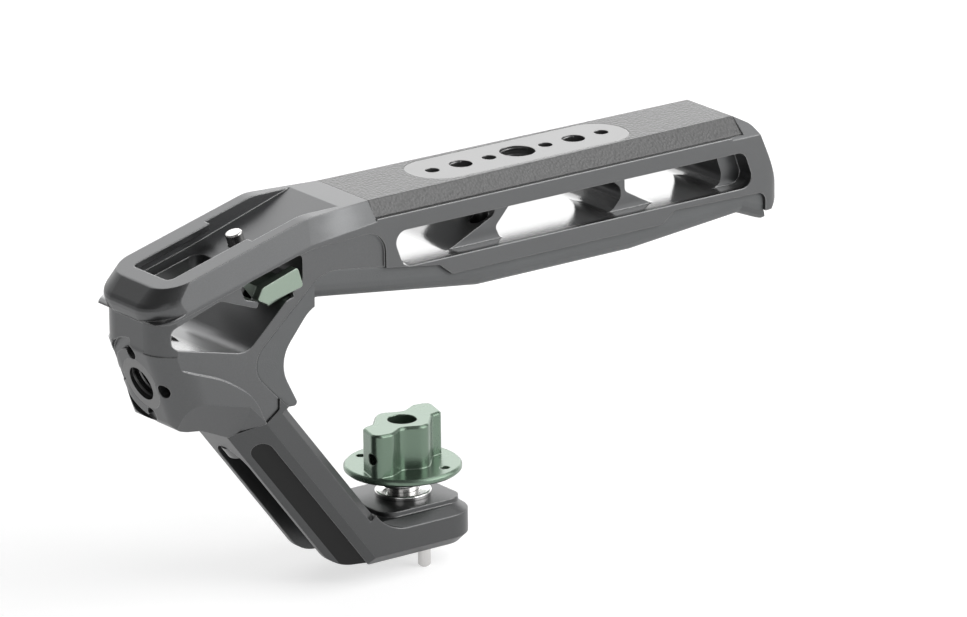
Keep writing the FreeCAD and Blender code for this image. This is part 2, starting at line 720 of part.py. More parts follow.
def front_holes():
    """Four locating holes round the front thread, and the groove on the far side."""
    tools = []
    for direction in (BOSS_UP, BOSS_UP * -1, FreeCAD.Vector(0, 1, 0), FreeCAD.Vector(0, -1, 0)):
        base = BOSS_CENTRE + direction * FRONT_HOLE_SPACING - BOSS_OUT * FRONT_HOLE_DEPTH
        tools.append(Part.makeCylinder(FRONT_HOLE_RADIUS, 2 * FRONT_HOLE_DEPTH, base, BOSS_OUT))
    return tools


def boss_groove():
    base = BOSS_CENTRE - BOSS_OUT * GROOVE_DEPTH
    outer = Part.makeCylinder(GROOVE_OUTER, 2 * GROOVE_DEPTH, base, BOSS_OUT)
    ring = outer.cut(Part.makeCylinder(GROOVE_INNER, 2 * GROOVE_DEPTH, base, BOSS_OUT))
    reach = 2 * GROOVE_OUTER
    corner_point = FreeCAD.Vector(BOSS_X - GROOVE_OUTER, 0, BOSS_CENTRE.z - reach)
    return ring.common(Part.makeBox(reach, reach, 2 * reach, corner_point))


def shoe_tools():
    """The undercut channel, the gap between its lips, the run-in ramp and the opening in its floor."""
    past = RAMP_END_X
    floor = [
        corner(SHOE_FRONT_X, rim_drop(SHOE_FRONT_X) + SHOE_NORMAL_DROP),
        corner(RAMP_FRONT_X, RAMP_FRONT_DROP),
        corner(RAMP_END_X, 0.0),
    ]
    lip = LIP_THICKNESS / math.cos(math.radians(HEAD_TILT))
    channel = side_prism(floor + [
        corner(RAMP_END_X, -LIP_THICKNESS),
        corner(LIP_REAR_X, -LIP_THICKNESS),
        corner(LIP_REAR_X, rim_drop(LIP_REAR_X) + lip),
        corner(SHOE_FRONT_X, rim_drop(SHOE_FRONT_X) + lip),
    ], -SHOE_HALF, SHOE_HALF)
    gap_side = side_prism(floor + [
        corner(past, -LIP_THICKNESS),
        corner(SHOE_FRONT_X, -LIP_THICKNESS),
    ], -LIP_OPENING_HALF, LIP_OPENING_HALF)
    gap_plan = plan_prism([
        (SHOE_FRONT_X, -LIP_OPENING_HALF, SHOE_CORNER),
        (past, -LIP_OPENING_HALF, 0.0),
        (past, LIP_OPENING_HALF, 0.0),
        (SHOE_FRONT_X, LIP_OPENING_HALF, SHOE_CORNER),
    ], 0, 2 * TOP_Z)
    opening = plan_prism([
        (FLOOR_OPENING_FRONT_X, -FLOOR_OPENING_HALF, FLOOR_OPENING_CORNER),
        (FLOOR_OPENING_REAR_X, -FLOOR_OPENING_HALF, FLOOR_OPENING_CORNER),
        (FLOOR_OPENING_REAR_X, FLOOR_OPENING_HALF, FLOOR_OPENING_CORNER),
        (FLOOR_OPENING_FRONT_X, FLOOR_OPENING_HALF, FLOOR_OPENING_CORNER),
    ], TOP_Z - WINDOW_FRONT_DROP, TOP_Z)
    return channel.fuse(gap_side.common(gap_plan)).fuse(opening)


def pin_housing():
    """The block under the shoe that holds the lock pin's spring, in the pin's own frame."""
    low = BUTTON_TOP_N + END_GAP
    block = Part.makeBox(
        2 * HOUSING_HALF, 2 * HOUSING_HALF, -LIP_FLOOR - low,
        FreeCAD.Vector(-HOUSING_HALF, -HOUSING_HALF, low))
    return placed(block, PIN_BASE, RAMP_TILT)


def pin_bores():
    """The bores of the lock pin, its spring and its foot, in the pin's own frame."""
    mouth = rod(PIN_RADIUS + PIN_CLEARANCE, -2 * LIP_FLOOR, PIN_PROUD)
    chamber = rod(FLANGE_RADIUS + PIN_CLEARANCE, BUTTON_TOP_N, -LIP_FLOOR)
    foot_low = BUTTON_TOP_N - BUTTON_HEIGHT - PIN_TRAVEL - PIN_FOOT_THICKNESS
    foot = rod(PIN_FOOT_RADIUS + 3 * END_GAP, foot_low, BUTTON_TOP_N)
    return placed(mouth.fuse(chamber).fuse(foot), PIN_BASE, RAMP_TILT)


def deck_pocket(oversize, low_drop):
    """The round-ended pocket or plate, wider all round by oversize."""
    half = PLATE_HALF + oversize
    long_half = PLATE_LENGTH / 2 + oversize
    return plan_prism([
        (PLATE_X - long_half, -half, half),
        (PLATE_X + long_half, -half, half),
        (PLATE_X + long_half, half, half),
        (PLATE_X - long_half, half, half),
    ], TOP_Z - low_drop, TOP_Z)


def plate_screw_places():
    places = []
    for x in (PLATE_X - PLATE_SCREW_X, PLATE_X + PLATE_SCREW_X):
        for y in (-PLATE_SCREW_Y, PLATE_SCREW_Y):
            places.append((x, y))
    return places


def keel(oversize):
    """The tongue under the grip that the insert is pressed over."""
    return side_prism([
        corner(KEEL_FRONT_X - oversize, SLOT_LOW_DROP),
        corner(KEEL_FRONT_X - oversize, KEEL_DROP + oversize, STEP_RADIUS),
        corner(KEEL_REAR_X + oversize, KEEL_DROP + oversize, STEP_RADIUS),
        corner(KEEL_REAR_X + oversize, SLOT_LOW_DROP),
    ], -KEEL_HALF - oversize, KEEL_HALF + oversize)


def arm_fixings(along_low, along_high, radius, places):
    """Rods along the arm at the given places across it."""
    tools = []
    for forward, y in places:
        base = arm_point(along_low, forward) + FreeCAD.Vector(0, y, 0)
        tools.append(Part.makeCylinder(radius, along_high - along_low, base, ARM_DOWN))
    return tools


def arm_screw_place():
    return [(ARM_SCREW_FROM_REAR, 0.0)]


def dowel_places():
    return [(DOWEL_FROM_REAR, -DOWEL_Y), (DOWEL_FROM_REAR, DOWEL_Y)]


def along_arm(section, along_low, along_high):
    """A section in forward distance and Y, carried along the arm."""
    def place(p):
        return arm_point(along_low, p.x) + FreeCAD.Vector(0, p.y, 0)
    wire = rounded_wire(section, place)
    return Part.Face(wire).extrude(ARM_DOWN * (along_high - along_low))


def arm_bevels(along_low, along_high):
    """The broad facets that narrow the arm towards its front."""
    past = ARM_DEPTH + FOOT_EDGE
    slope = (ARM_HALF - ARM_FRONT_HALF) / (ARM_DEPTH - ARM_EDGE)
    section = [
        (ARM_EDGE, ARM_HALF, 0.0),
        (past, ARM_HALF - slope * (past - ARM_EDGE), 0.0),
        (past, past, 0.0),
        (ARM_EDGE, past, 0.0),
    ]
    return both_sides(along_arm(section, along_low, along_high))


def build_handle_frame():
    body = side_prism(body_outline(), -BODY_HALF, BODY_HALF)
    body = body.common(plan_prism(body_plan(), 0, TOP_Z + PAD_HEIGHT))
    past = RIM_FRONT_X - 2 * BAND_LEAN
    body = body.cut(edge_wedge([
        (past, rim_drop(past), RIM_HALF, rim_drop(past) + BAND_DEPTH - NECK_STEP),
        (CREASE_X, 0.0, RIM_HALF, BAND_DEPTH - NECK_STEP),
        (PAD_FRONT_X, 0.0, PAD_FRONT_HALF, PAD_HEIGHT + PAD_GROOVE),
    ]))
    body = body.cut(edge_wedge([
        (PAD_REAR_X - CAP_LEAN, 0.0, PAD_REAR_HALF, PAD_HEIGHT + PAD_GROOVE),
        (REAR_X + CAP_LEAN, 0.0, PAD_REAR_HALF, PAD_HEIGHT + PAD_GROOVE),
    ]))
    panel = side_prism(panel_outline(), BODY_HALF - PANEL_DEPTH, 2 * BODY_HALF)
    body = body.cut(both_sides(panel))
    body = body.cut(nose_cutter())
    body = body.cut(neck_rounding())
    body = body.cut(boss_rounding())
    body = body.cut(head_bevels())
    body = body.cut(shoe_tools())
    body = body.cut(side_prism(head_window(), -2 * BODY_HALF, 2 * BODY_HALF))
    body = body.fuse(pin_housing())
    body = body.cut(pin_bores())
    body = body.cut(button_space())
    slot = side_prism(slot_outline(), SPINE_HALF, 2 * BODY_HALF)
    body = body.cut(both_sides(slot))
    for outline in grip_windows():
        body = body.cut(side_prism(outline, -2 * BODY_HALF, 2 * BODY_HALF))
    body = body.fuse(keel(0.0))
    body = body.cut(deck_pocket(PLATE_FIT, PLATE_THICKNESS))
    for x, y in plate_screw_places():
        body = body.cut(rod(PLATE_SCREW_RADIUS + PLATE_FIT, TOP_Z - SLOT_TOP_DROP, TOP_Z, x, y))
        head_top = TOP_Z - SLOT_TOP_DROP + PLATE_SCREW_HEAD
        body = body.cut(rod(PLATE_SCREW_HEAD_RADIUS + PLATE_FIT, TOP_Z - SLOT_LOW_DROP, head_top, x, y))
    for tool in front_holes():
        body = body.cut(tool)
    body = body.cut(boss_groove())
    bore = Part.makeCylinder(INSERT_RADIUS, INSERT_LENGTH, BOSS_CENTRE - BOSS_OUT * INSERT_LENGTH, BOSS_OUT)
    body = body.cut(bore)
    for tool in arm_fixings(-ARM_SCREW_REACH, ARM_CAP, ARM_SCREW_RADIUS, arm_screw_place()):
        body = body.cut(tool)
    for tool in arm_fixings(-DOWEL_REACH - ARM_EDGE, DOWEL_REACH, DOWEL_RADIUS, dowel_places()):
        body = body.cut(tool)
    return body


def arm_outline():
    front = arm_point(0.0, ARM_DEPTH)
    run = front.z / -ARM_DOWN.z
    bend = front + ARM_DOWN * run
    outline = [
        corner(SEAM_TIP_X, SEAM_TIP_DROP),
        corner(TIP_HEEL_X, TIP_HEEL_DROP, STEP_RADIUS),
        (ARM_TOP.x, ARM_TOP.z, STEP_RADIUS),
        (ARM_KNEE.x, ARM_KNEE.z, KNEE_RADIUS),
        (FOOT_REAR_X, FOOT_HEIGHT, FOOT_EDGE),
        (FOOT_REAR_X, 0.0, 0.0),
        (bend.x, 0.0, ARM_BEND_RADIUS),
    ]
    return outline + list(reversed(head_seam()))[:-1]


def channel_outline():
    """The hollow of the arm, open to the front and the underside."""
    top = arm_point(ARM_CAP, ARM_REAR_WALL)
    run = (top.z - FOOT_HEIGHT) / -ARM_DOWN.z
    heel = top + ARM_DOWN * run
    mouth = arm_point(ARM_CAP, 2 * ARM_DEPTH)
    return [
        (top.x, top.z, STEP_RADIUS),
        (heel.x, heel.z, ARM_REAR_WALL),
        (heel.x, -ARM_DEPTH, 0.0),
        (mouth.x, -ARM_DEPTH, 0.0),
        (mouth.x, mouth.z, 0.0),
    ]


def arm_recess():
    """The slanted groove in each front facet, round at its top and deepest along its rear edge."""
    across = FreeCAD.Vector(ARM_DEPTH - ARM_EDGE, ARM_FRONT_HALF - ARM_HALF, 0).normalize()
    outward = FreeCAD.Vector(-across.y, across.x, 0)
    edge = FreeCAD.Vector(ARM_EDGE, ARM_HALF, 0)
    rear = edge + across * RECESS_FROM_EDGE
    front = edge + across * RECESS_TO
    corners = [
        rear + outward * RECESS_DEPTH,
        rear - outward * RECESS_DEPTH,
        front,
        front + outward * RECESS_DEPTH,
    ]
    section = [(point.x, point.y, 0.0) for point in corners]
    length = (ARM_KNEE - ARM_TOP).Length + ARM_BEND_RADIUS
    slanted = along_arm(section, RECESS_TOP, length)
    width = RECESS_TO - RECESS_FROM_EDGE
    outline = [
        (RECESS_TOP, RECESS_FROM_EDGE, width / 2),
        (length, RECESS_FROM_EDGE, 0.0),
        (length, RECESS_TO, 0.0),
        (RECESS_TOP, RECESS_TO, width / 2),
    ]

    def place(p):
        point = edge + across * p.y - outward * RECESS_DEPTH
        return arm_point(p.x, point.x) + FreeCAD.Vector(0, point.y, 0)
    out = ARM_FRONT * outward.x + FreeCAD.Vector(0, outward.y, 0)
    rounded = Part.Face(rounded_wire(outline, place)).extrude(out * 2 * RECESS_DEPTH)
    return both_sides(slanted.common(rounded))


def rear_bevels():
    """The facet on the rear edge of each side of the arm."""
    section = [
        (0.0, ARM_HALF - ARM_BEVEL, 0.0),
        (ARM_BEVEL, ARM_HALF, 0.0),
        (ARM_BEVEL, ARM_HALF + ARM_BEVEL, 0.0),
        (-ARM_BEVEL, ARM_HALF + ARM_BEVEL, 0.0),
        (-ARM_BEVEL, ARM_HALF - ARM_BEVEL, 0.0),
    ]
    length = (ARM_KNEE - ARM_TOP).Length - KNEE_RADIUS / 2
    return both_sides(along_arm(section, -ARM_BEVEL, length))


def foot_plan(front_x, inset):
    """The foot's plan outline, drawn in all round by an inset."""
    half = ARM_HALF - inset
    rear_x = FOOT_REAR_X - inset
    return [
        (front_x, -half, 0.0),
        (rear_x, -half, FOOT_CORNER - inset),
        (rear_x, half, FOOT_CORNER - inset),
        (front_x, half, 0.0),
    ]


def foot_ledge():
    """The slant from the foot's side edge up to the foot of its boss."""
    wires = []
    for height, inset in ((FOOT_HEIGHT, 0.0), (FOOT_HEIGHT + LEDGE_RISE, LEDGE_RUN)):
        outline = foot_plan(ARM_KNEE_X - ARM_REAR_WALL, inset)
        wires.append(rounded_wire(outline, lambda p, z=height: FreeCAD.Vector(p.x, p.y, z)))
    return Part.makeLoft(wires, True, True)


def channel_arch():
    """The front view of the arm's hollow, with its round top."""
    outline = [
        (ARM_CAP, -ARM_CHANNEL_HALF, ARM_CHANNEL_HALF),
        (2 * ARM_TOP.z, -ARM_CHANNEL_HALF, 0.0),
        (2 * ARM_TOP.z, ARM_CHANNEL_HALF, 0.0),
        (ARM_CAP, ARM_CHANNEL_HALF, ARM_CHANNEL_HALF),
    ]
    wire = rounded_wire(outline, lambda p: arm_point(p.x, -ARM_TOP.z) + FreeCAD.Vector(0, p.y, 0))
    return Part.Face(wire).extrude(ARM_FRONT * 3 * ARM_TOP.z)


def build_lower_arm():
    arm = side_prism(arm_outline(), -ARM_HALF, ARM_HALF)
    plan = plan_prism(foot_plan(HEAD_TOE_X - ARM_DEPTH, 0.0), 0, TOP_Z)
    low_edges = [edge for edge in plan.Edges if edge.BoundBox.ZMax < FOOT_CHAMFER]
    arm = arm.common(plan.makeChamfer(FOOT_CHAMFER, low_edges))
    length = (ARM_KNEE - ARM_TOP).Length + ARM_BEND_RADIUS
    arm = arm.cut(arm_bevels(-ARM_DEPTH, length))
    arm = arm.cut(arm_recess())
    arm = arm.cut(rear_bevels())
    arm = arm.fuse(foot_ledge())
    boss = plan_prism([
        (FOOT_BOSS_FRONT_X, -FOOT_BOSS_HALF, FOOT_BOSS_CORNER),
        (FOOT_BOSS_HALF, -FOOT_BOSS_HALF, FOOT_BOSS_CORNER),
        (FOOT_BOSS_HALF, FOOT_BOSS_HALF, FOOT_BOSS_CORNER),
        (FOOT_BOSS_FRONT_X, FOOT_BOSS_HALF, FOOT_BOSS_CORNER),
    ], FOOT_CHAMFER, FOOT_BOSS_HEIGHT)
    arm = arm.fuse(boss)
    channel = side_prism(channel_outline(), -ARM_CHANNEL_HALF, ARM_CHANNEL_HALF)
    arm = arm.cut(channel.common(channel_arch()))
    head_room = arm_fixings(
        ARM_CAP, ARM_CAP + 2 * ARM_CHANNEL_HALF, ARM_SCREW_HEAD_RADIUS + ARM_HEAD_ROOM, arm_screw_place())
    arm = arm.cut(head_room[0])
    bore_top = SCREW_TIP_Z + THREAD_LENGTH + END_GAP
    arm = arm.cut(rod(LARGE_THREAD_RADIUS + RUNNING_FIT, 0, bore_top))
    arm = arm.cut(rod(COLLAR_BODY_RADIUS, bore_top, FOOT_BOSS_HEIGHT))
    for y in (-PIN_SPACING, PIN_SPACING):
        arm = arm.cut(rod(LOCATING_SHANK_RADIUS, 0, LOCATING_PIN_IN, 0, y))
        arm = arm.cut(rod(LOCATING_PIN_RADIUS + LOCATING_MOUTH, 0, LOCATING_MOUTH, 0, y))
    for tool in arm_fixings(-ARM_SCREW_REACH, ARM_CAP, ARM_SCREW_RADIUS, arm_screw_place()):
        arm = arm.cut(tool)
    for tool in arm_fixings(-DOWEL_REACH - ARM_EDGE, DOWEL_REACH, DOWEL_RADIUS, dowel_places()):
        arm = arm.cut(tool)
    return arm


def soft_low_edges():
    """What rounds the two lower edges of the grip, from the throat to the rear."""
    stations = [
        (INNER_SHOULDER_X, INNER_SHOULDER_DROP),
        (BELLY_FRONT_X, BELLY_DROP),
        (BELLY_REAR_X, BELLY_DROP),
        (WAIST_X, WAIST_DROP),
        (BULB_X, BULB_DROP),
    ]
    wires = []
    for x, drop in stations:
        centre = FreeCAD.Vector(x, INSERT_HALF - INSERT_ROUND, TOP_Z - drop + INSERT_ROUND)
        arc = []
        for step in range(ROUND_STEPS + 1):
            angle = math.pi / 2 * step / ROUND_STEPS
            arc.append(centre + FreeCAD.Vector(0, math.cos(angle), -math.sin(angle)) * INSERT_ROUND)
        outer = centre + FreeCAD.Vector(0, 2 * INSERT_ROUND, 0)
        below = centre - FreeCAD.Vector(0, 0, 2 * INSERT_ROUND)
        points = arc + [below, below + FreeCAD.Vector(0, 2 * INSERT_ROUND, 0), outer]
        wires.append(Part.makePolygon(points + [points[0]]))
    return both_sides(Part.makeLoft(wires, True, True))


def build_grip_insert():
    outline = seam_line() + [
        corner(SEAM_TIP_X, SEAM_TIP_DROP),
        corner(TIP_HEEL_X, TIP_HEEL_DROP, STEP_RADIUS),
        corner(TIP_X, TIP_DROP, STEP_RADIUS),
        corner(INNER_THROAT_X, INNER_THROAT_DROP, INNER_THROAT_RADIUS),
        corner(INNER_SHOULDER_X, INNER_SHOULDER_DROP, INNER_THROAT_RADIUS),
        corner(BELLY_FRONT_X, BELLY_DROP, 6 * SHOULDER_RADIUS),
        corner(BELLY_REAR_X, BELLY_DROP, 6 * SHOULDER_RADIUS),
        corner(WAIST_X, WAIST_DROP, 2 * CAP_RADIUS),
        corner(BULB_X, BULB_DROP, CAP_RADIUS),
        corner(SEAM_REAR_X, REAR_TOE_DROP),
    ]
    insert = side_prism(outline, -INSERT_HALF, INSERT_HALF)
    insert = insert.cut(soft_low_edges())
    return insert.cut(keel(KEEL_FIT))


def build_top_pad():
    wires = []
    for x, half in ((PAD_FRONT_X, PAD_FRONT_HALF), (PAD_REAR_X, PAD_REAR_HALF)):
        points = [
            FreeCAD.Vector(x, -PAD_BASE_HALF, PAD_SEAT_Z),
            FreeCAD.Vector(x, PAD_BASE_HALF, PAD_SEAT_Z),
            FreeCAD.Vector(x, half, TOP_Z),
            FreeCAD.Vector(x, -half, TOP_Z),
        ]
        wires.append(Part.makePolygon(points + [points[0]]))
    pad = Part.makeLoft(wires, True, True)
    return pad.cut(deck_pocket(PLATE_FIT, PLATE_THICKNESS))


def build_thread_plate():
    plate = deck_pocket(0.0, PLATE_THICKNESS)
    low = TOP_Z - PLATE_THICKNESS
    for step in range(-3, 4):
        radius = LOCATING_RADIUS
        if step == 0:
            radius = LARGE_BORE_RADIUS
        elif step % 2 == 0:
            radius = SMALL_BORE_RADIUS
        plate = plate.cut(rod(radius, low, TOP_Z, PLATE_X + step * HOLE_PITCH))
    for x, y in plate_screw_places():
        plate = plate.cut(rod(PLATE_SCREW_RADIUS, low, low + PLATE_SCREW_REACH, x, y))
    return plate


def build_plate_screws():
    screws = []
    low = TOP_Z - SLOT_TOP_DROP
    reach = TOP_Z - PLATE_THICKNESS + PLATE_SCREW_REACH
    for x, y in plate_screw_places():
        head = rod(PLATE_SCREW_HEAD_RADIUS, low, low + PLATE_SCREW_HEAD, x, y)
        shank = rod(PLATE_SCREW_RADIUS, low + PLATE_SCREW_HEAD, reach, x, y)
        screws.append(head.fuse(shank))
    return Part.makeCompound(screws)


def build_front_thread_insert():
    base = BOSS_CENTRE - BOSS_OUT * INSERT_LENGTH
    bush = Part.makeCylinder(INSERT_RADIUS, INSERT_LENGTH, base, BOSS_OUT)
    return bush.cut(Part.makeCylinder(LARGE_BORE_RADIUS, INSERT_LENGTH, base, BOSS_OUT))


def fork_top():
    return BUTTON_TOP_N


def pin_foot_top():
    """Height of the wedge's thin underside, on which the pin's foot bears."""
    return fork_top() - FORK_THIN - END_GAP


def build_lock_pin():
    flange_top = -LIP_FLOOR - END_GAP
    pin = rod(PIN_RADIUS, flange_top, PIN_PROUD)
    rounded = pin.makeFillet(STEP_RADIUS / 3, [pin.Edges[0]])
    flange = rod(FLANGE_RADIUS, flange_top - FLANGE_THICKNESS, flange_top)
    shank = rod(SHANK_RADIUS, pin_foot_top() - PIN_FOOT_THICKNESS, flange_top - FLANGE_THICKNESS)
    return placed(rounded.fuse(flange).fuse(shank), PIN_BASE, RAMP_TILT)


def build_lock_pin_foot():
    top = pin_foot_top()
    foot = rod(PIN_FOOT_RADIUS, top - PIN_FOOT_THICKNESS, top)
    foot = foot.cut(rod(SHANK_RADIUS, top - PIN_FOOT_THICKNESS, top))
    return placed(foot, PIN_BASE, RAMP_TILT)


def pin_spring_span():
    high = -LIP_FLOOR - END_GAP - FLANGE_THICKNESS - END_GAP / 2
    low = high - SPRING_SPACE + END_GAP
    return low, high


def build_lock_pin_spring():
    low, high = pin_spring_span()
    mean = (SHANK_RADIUS + FLANGE_RADIUS) / 2
    spring = coil(mean, PIN_SPRING_WIRE / 2, low, high, PIN_SPRING_TURNS)
    return placed(spring, PIN_BASE, RAMP_TILT)


def build_lock_pin_bush():
    low = pin_spring_span()[0] - END_GAP / 2
    bush = rod(FLANGE_RADIUS + PIN_CLEARANCE, low - BUSH_THICKNESS, low)
    bush = bush.cut(rod(SHANK_RADIUS + PIN_CLEARANCE, low - BUSH_THICKNESS, low))
    return placed(bush, PIN_BASE, RAMP_TILT)


def button_outline():
    """The button's face plate, in the pin's own frame."""
    top = fork_top() + BUTTON_RISE
    return [
        (-BUTTON_FRONT, top, BUTTON_CORNER),
        (BUTTON_REAR, top, BUTTON_CORNER),
        (BUTTON_REAR, top - BUTTON_HEIGHT, BUTTON_CORNER),
        (-BUTTON_FRONT, top - BUTTON_HEIGHT + BUTTON_LOW, BUTTON_CORNER),
        (-BUTTON_FRONT - BUTTON_TIP, top - BUTTON_HEIGHT / 2 + BUTTON_LOW / 2, BUTTON_CORNER),
    ]


def button_space():
    """The pocket of the button's face plate and the guide of its stem."""
    face_y = -BODY_HALF - BUTTON_GAP
    deep = BUTTON_PLATE + BUTTON_TRAVEL + 3 * BUTTON_GAP
    wire = rounded_wire(button_outline(), lambda p: FreeCAD.Vector(p.x, face_y, p.y))
    plate = Part.Face(wire).makeOffset2D(BUTTON_GAP).extrude(FreeCAD.Vector(0, deep, 0))
    half = FORK_HALF + BUTTON_GAP
    tall = FORK_THIN + PIN_TRAVEL + END_GAP + BUTTON_GAP
    guide = Part.makeBox(
        2 * half, BODY_HALF + FORK_REACH + BUTTON_TRAVEL + BUTTON_GAP, tall,
        FreeCAD.Vector(-half, -BODY_HALF, fork_top() + END_GAP - tall))
    return placed(plate.fuse(guide), PIN_BASE, RAMP_TILT)


def build_release_button():
    """The face plate with its forked stem, whose slanting underside draws the pin down."""
    top = fork_top()
    face_y = -BODY_HALF + BUTTON_GAP
    plate = side_prism(button_outline(), face_y, face_y + BUTTON_PLATE)
    wedge_y = -PIN_FOOT_RADIUS - END_GAP
    thick = FORK_THIN + PIN_TRAVEL
    profile = [
        FreeCAD.Vector(-FORK_HALF, face_y + BUTTON_PLATE, top),
        FreeCAD.Vector(-FORK_HALF, FORK_REACH, top),
        FreeCAD.Vector(-FORK_HALF, FORK_REACH, top - FORK_THIN),
        FreeCAD.Vector(-FORK_HALF, wedge_y, top - FORK_THIN),
        FreeCAD.Vector(-FORK_HALF, wedge_y - BUTTON_TRAVEL, top - thick),
        FreeCAD.Vector(-FORK_HALF, face_y + BUTTON_PLATE, top - thick),
    ]
    stem = Part.Face(Part.makePolygon(profile + [profile[0]])).extrude(FreeCAD.Vector(2 * FORK_HALF, 0, 0))
    gap = SHANK_RADIUS + END_GAP
    slot = Part.makeBox(
        2 * gap, FORK_REACH + BUTTON_TRAVEL + 2 * gap, 2 * thick,
        FreeCAD.Vector(-gap, -BUTTON_TRAVEL - gap, top - 2 * thick + END_GAP))
    stem = stem.cut(slot)
    return placed(plate.fuse(stem), PIN_BASE, RAMP_TILT)


def build_mounting_screw():
    neck_low = SCREW_TIP_Z + THREAD_LENGTH
    neck_top = KNOB_TOP_Z - KNOB_BORE_DEPTH
    thread = rod(LARGE_THREAD_RADIUS, SCREW_TIP_Z, neck_low)
    thread = thread.makeChamfer(TIP_CHAMFER, [thread.Edges[2]])
    return thread.fuse(rod(NECK_RADIUS, neck_low, neck_top))


def washer_top():
    """Height of the thrust washer, at the roof of the knob's spring bore."""
    return KNOB_LOW_Z + SPRING_BORE_DEPTH - WASHER_GAP


def build_screw_collar():
    low = SCREW_TIP_Z + THREAD_LENGTH + END_GAP
    body = rod(COLLAR_BODY_RADIUS, low, FOOT_BOSS_HEIGHT)
    flange = rod(COLLAR_RADIUS, FOOT_BOSS_HEIGHT, FOOT_BOSS_HEIGHT + COLLAR_FLANGE)
    flange = flange.makeFillet(COLLAR_FLANGE / 3, [flange.Edges[0]])
    return body.fuse(flange).cut(rod(COLLAR_INNER, low, FOOT_BOSS_HEIGHT + COLLAR_FLANGE))


def build_screw_spring():
    low = FOOT_BOSS_HEIGHT + COLLAR_FLANGE
    high = washer_top() - WASHER_THICKNESS
    mean = WASHER_RADIUS - SCREW_SPRING_WIRE
    return coil(mean, SCREW_SPRING_WIRE / 2, low, high, SCREW_SPRING_TURNS)


def build_thrust_washer():
    top = washer_top()
    washer = rod(WASHER_RADIUS, top - WASHER_THICKNESS, top)
    return washer.cut(rod(NECK_RADIUS + RUNNING_FIT, top - WASHER_THICKNESS, top))


def wing_outline():
    half = [
        (WING_HUB_X, WING_HUB_Y, WING_HUB_RADIUS),
        (WING_VALLEY_X, WING_VALLEY_Y, WING_VALLEY_RADIUS),
        (WING_CREST_X, WING_CREST_Y, WING_CREST_RADIUS),
        (WING_TIP_X, WING_TIP_Y, WING_CREST_RADIUS),
        (WING_SIDE_X, WING_SIDE_Y, WING_ROOT_RADIUS),
        (WING_ROOT_X, WING_ROOT_Y, WING_ROOT_RADIUS),
    ]
    return half + [(-x, -y, radius) for x, y, radius in half]


def build_mounting_knob():
    disc = rod(KNOB_RADIUS, KNOB_LOW_Z, KNOB_LOW_Z + KNOB_DISC)
    disc = disc.makeChamfer(KNOB_EDGE, [disc.Edges[0], disc.Edges[2]])
    grip = plan_prism(wing_outline(), KNOB_LOW_Z + KNOB_DISC / 2, KNOB_TOP_Z)
    top_edges = [e for e in grip.Edges if abs(e.CenterOfMass.z - KNOB_TOP_Z) < 1e-6]
    grip = grip.makeChamfer(KNOB_EDGE, top_edges)
    knob = disc.fuse(grip)
    knob = knob.cut(rod(FLANGE_POCKET_RADIUS, KNOB_LOW_Z, KNOB_LOW_Z + FLANGE_POCKET_DEPTH))
    knob = knob.cut(rod(SPRING_BORE_RADIUS, KNOB_LOW_Z, KNOB_LOW_Z + SPRING_BORE_DEPTH))
    knob = knob.cut(rod(NECK_RADIUS, KNOB_LOW_Z, KNOB_TOP_Z - KNOB_BORE_DEPTH))
    knob = knob.cut(rod(KNOB_BORE, KNOB_TOP_Z - KNOB_BORE_DEPTH, KNOB_TOP_Z))
    for side in (1, -1):
        x, y = side * KNOB_HOLE_X, side * KNOB_HOLE_Y
        knob = knob.cut(rod(KNOB_HOLE_RADIUS, KNOB_LOW_Z, KNOB_LOW_Z + KNOB_DISC, x, y))
    return knob.cut(set_screw_rod(KNOB_RADIUS))


def set_screw_rod(reach):
    """A rod along the front wing, from the screw's neck outwards."""
    height = KNOB_LOW_Z + KNOB_HEIGHT / 2
    out = FreeCAD.Vector(-WING_TIP_X, -WING_TIP_Y + KNOB_EDGE * 3, 0).normalize()
    base = FreeCAD.Vector(0, 0, height) + out * NECK_RADIUS
    return Part.makeCylinder(SET_SCREW_RADIUS, reach, base, out)


def build_knob_set_screw():
    neck = rod(NECK_RADIUS, KNOB_LOW_Z, KNOB_TOP_Z)
    return set_screw_rod(SET_SCREW_LENGTH).cut(neck)


def build_locating_pins():
    pins = []
    for y in (-PIN_SPACING, PIN_SPACING):
        pin = rod(LOCATING_PIN_RADIUS, -LOCATING_PIN_OUT, 0, 0, y)
        pin = pin.makeChamfer(KNOB_EDGE, [pin.Edges[2]])
        pins.append(pin.fuse(rod(LOCATING_SHANK_RADIUS, 0, LOCATING_PIN_IN, 0, y)))
    return Part.makeCompound(pins)


def build_arm_screw():
    shank = arm_fixings(-ARM_SCREW_REACH, ARM_CAP, ARM_SCREW_RADIUS, arm_screw_place())[0]
    head = arm_fixings(ARM_CAP, ARM_CAP + ARM_SCREW_HEAD, ARM_SCREW_HEAD_RADIUS, arm_screw_place())[0]
    return shank.fuse(head)


def build_arm_dowels():
    return Part.makeCompound(arm_fixings(-DOWEL_REACH - ARM_EDGE, DOWEL_REACH, DOWEL_RADIUS, dowel_places()))


